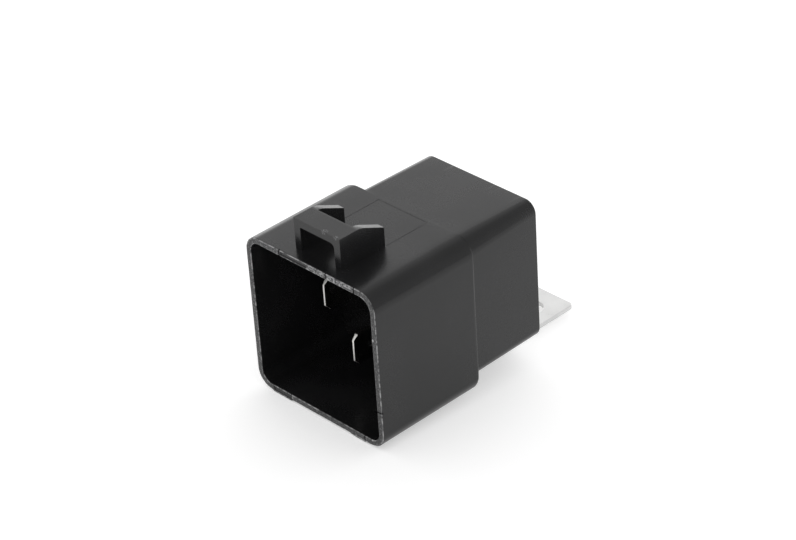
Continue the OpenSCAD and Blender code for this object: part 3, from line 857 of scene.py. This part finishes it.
class RELAY_OT_magnet(bpy.types.Operator):
    """Gives the yoke, core, bobbin, winding, leads and resistor their finishes"""
    bl_idname = "relay.magnet"
    bl_label = "Magnet, winding and resistor"

    def execute(self, context):
        size = context.scene.relay_works
        iron = plated_metal("magnet_iron", (0.56, 0.56, 0.54), 0.38, (3, 3, 0.6)).material
        for node in ("yoke", "core"):
            paint(node, iron)
        paint("bobbin", moulded_plastic("bobbin_nylon", (0.06, 0.05, 0.04), 0.5, 0.45).material)
        wire = Finish("enamelled_copper", tuple(size.varnish), 0.28, metallic=0.75)
        turns = wire.noise(1400.0, 3.0, (0.2, 8, 0.2))
        darker = tuple(c * 0.55 for c in size.varnish)
        wire.color(wire.blend(wire.ramp(turns, 0.0, 1.0), darker, tuple(size.varnish)))
        wire.roughness(wire.ramp(wire.noise(400.0), 0.2, 0.36))
        wire.bump(turns, 0.00003, 0.5)
        for node in ("coil_winding", "coil_lead_85", "coil_lead_86"):
            paint(node, wire.material)
        body = Finish("resistor_lacquer", (0.5, 0.4, 0.26), 0.42)
        mottle = body.noise(1500.0, 4.0)
        body.color(body.blend(body.ramp(mottle, 0.0, 1.0), (0.42, 0.33, 0.2), (0.55, 0.45, 0.3)))
        body.roughness(body.ramp(mottle, 0.35, 0.5))
        body.bump(body.noise(2500.0), 0.00002, 0.4)
        paint("suppression_resistor", body.material)
        tinned = plated_metal("tinned_wire", (0.78, 0.78, 0.76), 0.25).material
        for node in ("resistor_lead_85", "resistor_lead_86"):
            paint(node, tinned)
        return {"FINISHED"}


class RELAY_OT_armature(bpy.types.Operator):
    """Gives the armature, springs, rivets and contacts their finishes"""
    bl_idname = "relay.armature"
    bl_label = "Armature, springs and contacts"

    def execute(self, context):
        paint("armature", plated_metal("armature_iron", (0.6, 0.6, 0.58), 0.34, (3, 3, 0.6)).material)
        bronze = plated_metal("spring_bronze", (0.78, 0.5, 0.26), 0.26, (8, 1, 0.5)).material
        for node in ("contact_spring", "return_spring"):
            paint(node, bronze)
        rivet = plated_metal("rivet_metal", (0.7, 0.67, 0.6), 0.32).material
        for node in ("armature_rivets", "return_spring_rivets"):
            paint(node, rivet)
        silver = plated_metal("contact_silver", (0.9, 0.9, 0.87), 0.16).material
        for node in ("moving_contact", "fixed_contact"):
            paint(node, silver)
        return {"FINISHED"}


def smooth_path(points, steps):
    """A smooth curve through a few points."""
    out = []
    for i in range(len(points) - 1):
        a, b = points[max(i - 1, 0)], points[i]
        c, d = points[i + 1], points[min(i + 2, len(points) - 1)]
        for k in range(steps):
            t = k / steps
            out.append(0.5 * (2 * b + (c - a) * t + (2 * a - 5 * b + 4 * c - d) * t * t
                              + (3 * b - a - 3 * c + d) * t ** 3))
    return out + [points[-1]]


def across(path, i):
    """Two directions across a path at one of its points."""
    ahead = (path[min(i + 1, len(path) - 1)] - path[max(i - 1, 0)]).normalized()
    u = ahead.cross(Vector((0.31, 0.17, 0.93))).normalized()
    return u, ahead.cross(u)


def tube(path, r, sides, name):
    """A closed tube along a path."""
    verts = []
    for i, p in enumerate(path):
        u, v = across(path, i)
        for s in range(sides):
            a = 2 * math.pi * s / sides
            verts.append((p + r * (u * math.cos(a) + v * math.sin(a))) * MM)
    return collect(name, verts, wrap(len(path), sides))


class RELAY_OT_braid(bpy.types.Operator):
    """Builds the flexible braid from twisted copper strands, bending from the yoke to the contact leaf"""
    bl_idname = "relay.braid"
    bl_label = "Flexible braid"

    def execute(self, context):
        size = context.scene.relay_works
        r = 0.42
        # Where the works lie that the braid passes, from the front backwards and from below upwards
        bobbin_y, bobbin_end_y, yoke_end_y, leaf_y = 25.8, 34.8, 36.115, 37.665
        yoke_z, hinge_z, coil_z, contact_z = -10.3, -8.8, -1.8, 8.3
        half_yoke, gap = 5.5, 0.05
        # Beside the yoke and along it, then round the hinge and up to the contact leaf
        side, low, start = CENTRE + half_yoke + r, yoke_z + r, bobbin_y + 4 * r
        top = leaf_y + gap + r
        bow = 1.4 * r
        centre = smooth_path([Vector(p) for p in (
            (side, start, low), (side, start + 6 * r, low), (side + bow, bobbin_end_y - 2 * r, low),
            (side + bow, yoke_end_y, hinge_z + r / 2), (side + r / 4, top - r / 2, hinge_z + 3.41),
            (CENTRE + 4.07, top, coil_z + r), (CENTRE + 1.7, top, coil_z + 5.6),
            (CENTRE + 1.5, top, contact_z - 1.2))], 8)
        # Radius of one strand, and its turns from one point of the path to the next
        thin = r * 0.42
        twist = 0.055
        strands = []
        for s in range(size.strands):
            path = []
            for i, p in enumerate(centre):
                u, v = across(centre, i)
                turn = 2 * math.pi * (s / size.strands + i * twist)
                path.append(p + (r - thin) * (u * math.cos(turn) + v * math.sin(turn)))
            strands.append(tube(path, thin, 8, "strand"))
        braid = join(strands, "copper_braid")
        shade(braid, 60.0)
        copper = plated_metal("braid_copper", tuple(size.copper), 0.36).material
        braid.data.materials.append(copper)
        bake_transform(braid)
        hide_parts("flexible_braid")
        return {"FINISHED"}


# ---- Stage: floor, lights and camera

# The camera's azimuth, elevation and roll in degrees, its place in metres, and how far the picture
# is shifted left and up, as a share of its width
CAMERA_TURN = (47.526, 32.443, -3.832)
CAMERA_PLACE = (0.307261, -0.260324, 0.269376)
CAMERA_SHIFT = 0.5 / 796
# The floor's height under the rim in millimetres, and its reach to each side in metres
FLOOR_Z = -16.27
FLOOR_REACH = 3.0
# Where the bracket's bend touches the floor: station and height
BEND_Y = TOTAL + 1.65
BEND_Z = -19.04
# The key light's place and width, in metres
KEY_PLACE = (-0.59, 0.56, 0.51)
KEY_WIDTH = 1.1


def camera_axes(azimuth, elevation, roll):
    """Right, up and back of a camera that looks at the relay."""
    a, e, r = (math.radians(v) for v in (azimuth, elevation, roll))
    back = Vector((math.sin(a) * math.cos(e), -math.cos(a) * math.cos(e), math.sin(e)))
    right = (-back).cross(Vector((0, 0, 1))).normalized()
    up = right.cross(-back)
    return (right * math.cos(r) + up * math.sin(r), up * math.cos(r) - right * math.sin(r), back)


class RELAY_OT_stage(bpy.types.Operator):
    """Sets up the floor, the soft lights and the camera"""
    bl_idname = "relay.stage"
    bl_label = "Stage"

    def execute(self, context):
        size = context.scene.relay_stage
        scene = context.scene
        scene.view_settings.view_transform = "Standard"
        right, up, back = camera_axes(*CAMERA_TURN)
        camera = bpy.data.objects.new("camera", bpy.data.cameras.new("camera"))
        camera.data.sensor_width = 36.0
        camera.data.lens = size.lens
        camera.data.clip_start = 0.01
        camera.data.clip_end = 10.0
        axes = Matrix((right, up, back)).transposed().to_4x4()
        camera.matrix_world = Matrix.Translation(CAMERA_PLACE) @ axes
        camera.data.shift_x = -CAMERA_SHIFT
        camera.data.shift_y = CAMERA_SHIFT
        scene.collection.objects.link(camera)
        scene.camera = camera
        # The relay stands on the rim's foot and on the bracket's bend, so the floor leans a little
        lean = (FLOOR_Z - BEND_Z) / BEND_Y
        corners = [(x * FLOOR_REACH, y * FLOOR_REACH, FLOOR_Z * MM - lean * y * FLOOR_REACH)
                   for x, y in ((-1, -1), (1, -1), (1, 1), (-1, 1))]
        floor = collect("floor", corners, [(0, 1, 2, 3)], smooth=False)
        if floor.data.polygons[0].normal.z < 0:
            floor.data.flip_normals()
        floor.data.materials.append(floor_finish(tuple(size.floor)))
        add_light("key", KEY_PLACE, KEY_WIDTH, size.key)
        scene.world = surround(size.fill)
        return {"FINISHED"}


def surround(fill):
    """Even light all round, brighter towards the horizon behind on the left."""
    world = bpy.data.worlds.new("surround")
    world.use_nodes = True
    tree = world.node_tree
    ground = tree.nodes["Background"]
    ground.inputs["Color"].default_value = (1, 1, 1, 1)
    way = tree.nodes.new("ShaderNodeTexCoord").outputs["Generated"]
    lean = vector_step(tree, "DOT_PRODUCT", way, (-0.7, 0.7, 0.0), "Value")
    height = tree.nodes.new("ShaderNodeSeparateXYZ")
    tree.links.new(way, height.inputs[0])
    low = ranged(tree, height.outputs["Z"], 1.0, 0.0, 0.15, 0.6)
    behind = ranged(tree, lean, 0.0, 1.0, -0.2, 0.8)
    glow = worked_out(tree, "MULTIPLY", worked_out(tree, "MULTIPLY", low, behind), 2.05)
    strength = worked_out(tree, "MULTIPLY", worked_out(tree, "ADD", glow, 1.0), fill)
    tree.links.new(strength, ground.inputs["Strength"])
    return world


def add_light(name, place, width, power):
    """A square soft light that faces the relay."""
    lamp = bpy.data.lights.new(name, "AREA")
    lamp.shape = "SQUARE"
    lamp.size = width
    lamp.energy = power
    light = bpy.data.objects.new(name, lamp)
    light.location = place
    aim = Vector(place) - Vector((0.0, 0.02, 0.0))
    light.rotation_mode = "QUATERNION"
    light.rotation_quaternion = aim.to_track_quat("Z", "Y")
    bpy.context.scene.collection.objects.link(light)


def shown_rays(tree):
    """Is 1 for the rays that show the surroundings: to the camera, in reflections and through glass."""
    rays = tree.nodes.new("ShaderNodeLightPath")
    total = rays.outputs["Is Camera Ray"]
    for kind in ("Is Glossy Ray", "Is Transmission Ray"):
        total = worked_out(tree, "MAXIMUM", total, rays.outputs[kind])
    return total


def floor_finish(color):
    """Pale floor that shows white to the camera and in reflections, and keeps a soft shadow."""
    material = bpy.data.materials.new("pale_floor")
    material.use_nodes = True
    tree = material.node_tree
    tree.nodes.clear()
    plain = tree.nodes.new("ShaderNodeBsdfDiffuse")
    plain.inputs["Color"].default_value = (*color, 1)
    soft = tree.nodes.new("ShaderNodeBsdfDiffuse")
    soft.inputs["Color"].default_value = (0.85, 0.85, 0.85, 1)
    glow = tree.nodes.new("ShaderNodeEmission")
    glow.inputs["Color"].default_value = (1, 1, 1, 1)
    glow.inputs["Strength"].default_value = 0.43
    both = tree.nodes.new("ShaderNodeAddShader")
    pick = tree.nodes.new("ShaderNodeMixShader")
    out = tree.nodes.new("ShaderNodeOutputMaterial")
    link = tree.links.new
    link(soft.outputs[0], both.inputs[0])
    link(glow.outputs[0], both.inputs[1])
    link(shown_rays(tree), pick.inputs[0])
    link(plain.outputs[0], pick.inputs[1])
    link(both.outputs[0], pick.inputs[2])
    link(pick.outputs[0], out.inputs[0])
    return material


class RELAY_PT_builder(bpy.types.Panel):
    """Lists the relay's pieces and what can be changed"""
    bl_idname = "RELAY_PT_builder"
    bl_label = "Relay"
    bl_space_type = "VIEW_3D"
    bl_region_type = "UI"
    bl_category = "Relay"

    def draw(self, context):
        for group in (context.scene.relay_cover, context.scene.relay_metal,
                      context.scene.relay_works, context.scene.relay_stage):
            box = self.layout.box()
            for key in group.__annotations__:
                box.prop(group, key)
        for operator in OPERATORS:
            self.layout.operator(operator.bl_idname)


GROUPS = {"relay_cover": RelayCoverSettings, "relay_metal": RelayMetalSettings,
          "relay_works": RelayWorksSettings, "relay_stage": RelayStageSettings}
OPERATORS = (RELAY_OT_cover, RELAY_OT_bracket, RELAY_OT_blades, RELAY_OT_base, RELAY_OT_magnet,
             RELAY_OT_armature, RELAY_OT_braid, RELAY_OT_stage)


def register():
    for group in GROUPS.values():
        bpy.utils.register_class(group)
    for operator in OPERATORS:
        bpy.utils.register_class(operator)
    bpy.utils.register_class(RELAY_PT_builder)
    for name, group in GROUPS.items():
        setattr(bpy.types.Scene, name, bpy.props.PointerProperty(type=group))


def unregister():
    for name in GROUPS:
        delattr(bpy.types.Scene, name)
    bpy.utils.unregister_class(RELAY_PT_builder)
    for operator in reversed(OPERATORS):
        bpy.utils.unregister_class(operator)
    for group in reversed(list(GROUPS.values())):
        bpy.utils.unregister_class(group)


def main():
    """Registers the classes and builds every piece in order."""
    register()
    for operator in OPERATORS:
        family, name = operator.bl_idname.split(".")
        getattr(getattr(bpy.ops, family), name)()


if __name__ == "__main__":
    main()
